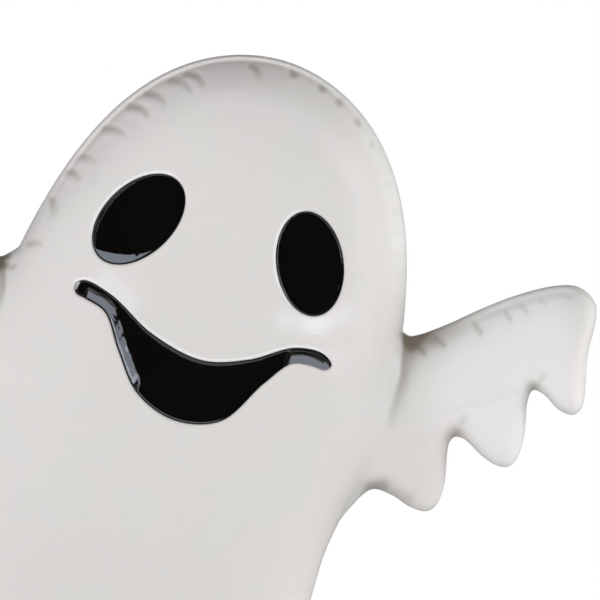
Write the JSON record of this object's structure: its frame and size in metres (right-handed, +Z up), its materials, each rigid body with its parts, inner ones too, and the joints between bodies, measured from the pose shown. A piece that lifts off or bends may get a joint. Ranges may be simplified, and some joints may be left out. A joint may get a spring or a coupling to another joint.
{
  "type": "tabletop ceramic ghost figure",
  "caption": "Hollow glazed ceramic ghost figure with a crimped rim, hollowed black eyes and smile, and raised arms with dripping sleeves, leaning on a flat foot.",
  "frame": {"origin": "middle of the overall box at the table's surface, under the felt pads", "axes": "+Z up, the face looks along -Y, +X is the viewer's right, towards which the figure leans"},
  "size_m": [0.2893, 0.0904, 0.3007],
  "materials": {
    "white_glaze": "glossy white glaze over white earthenware",
    "black_glaze": "glossy black glaze, pooled in the hollows",
    "felt": "pressed grey felt"
  },
  "bodies": {
    "root": {"body_shell": "white_glaze", "right_arm": "white_glaze", "left_arm": "white_glaze", "left_eye_glaze": "black_glaze", "right_eye_glaze": "black_glaze", "mouth_glaze": "black_glaze", "foot_pad_front_left": "felt", "foot_pad_front_right": "felt", "foot_pad_rear_left": "felt", "foot_pad_rear_right": "felt"}
  },
  "joints": []
}
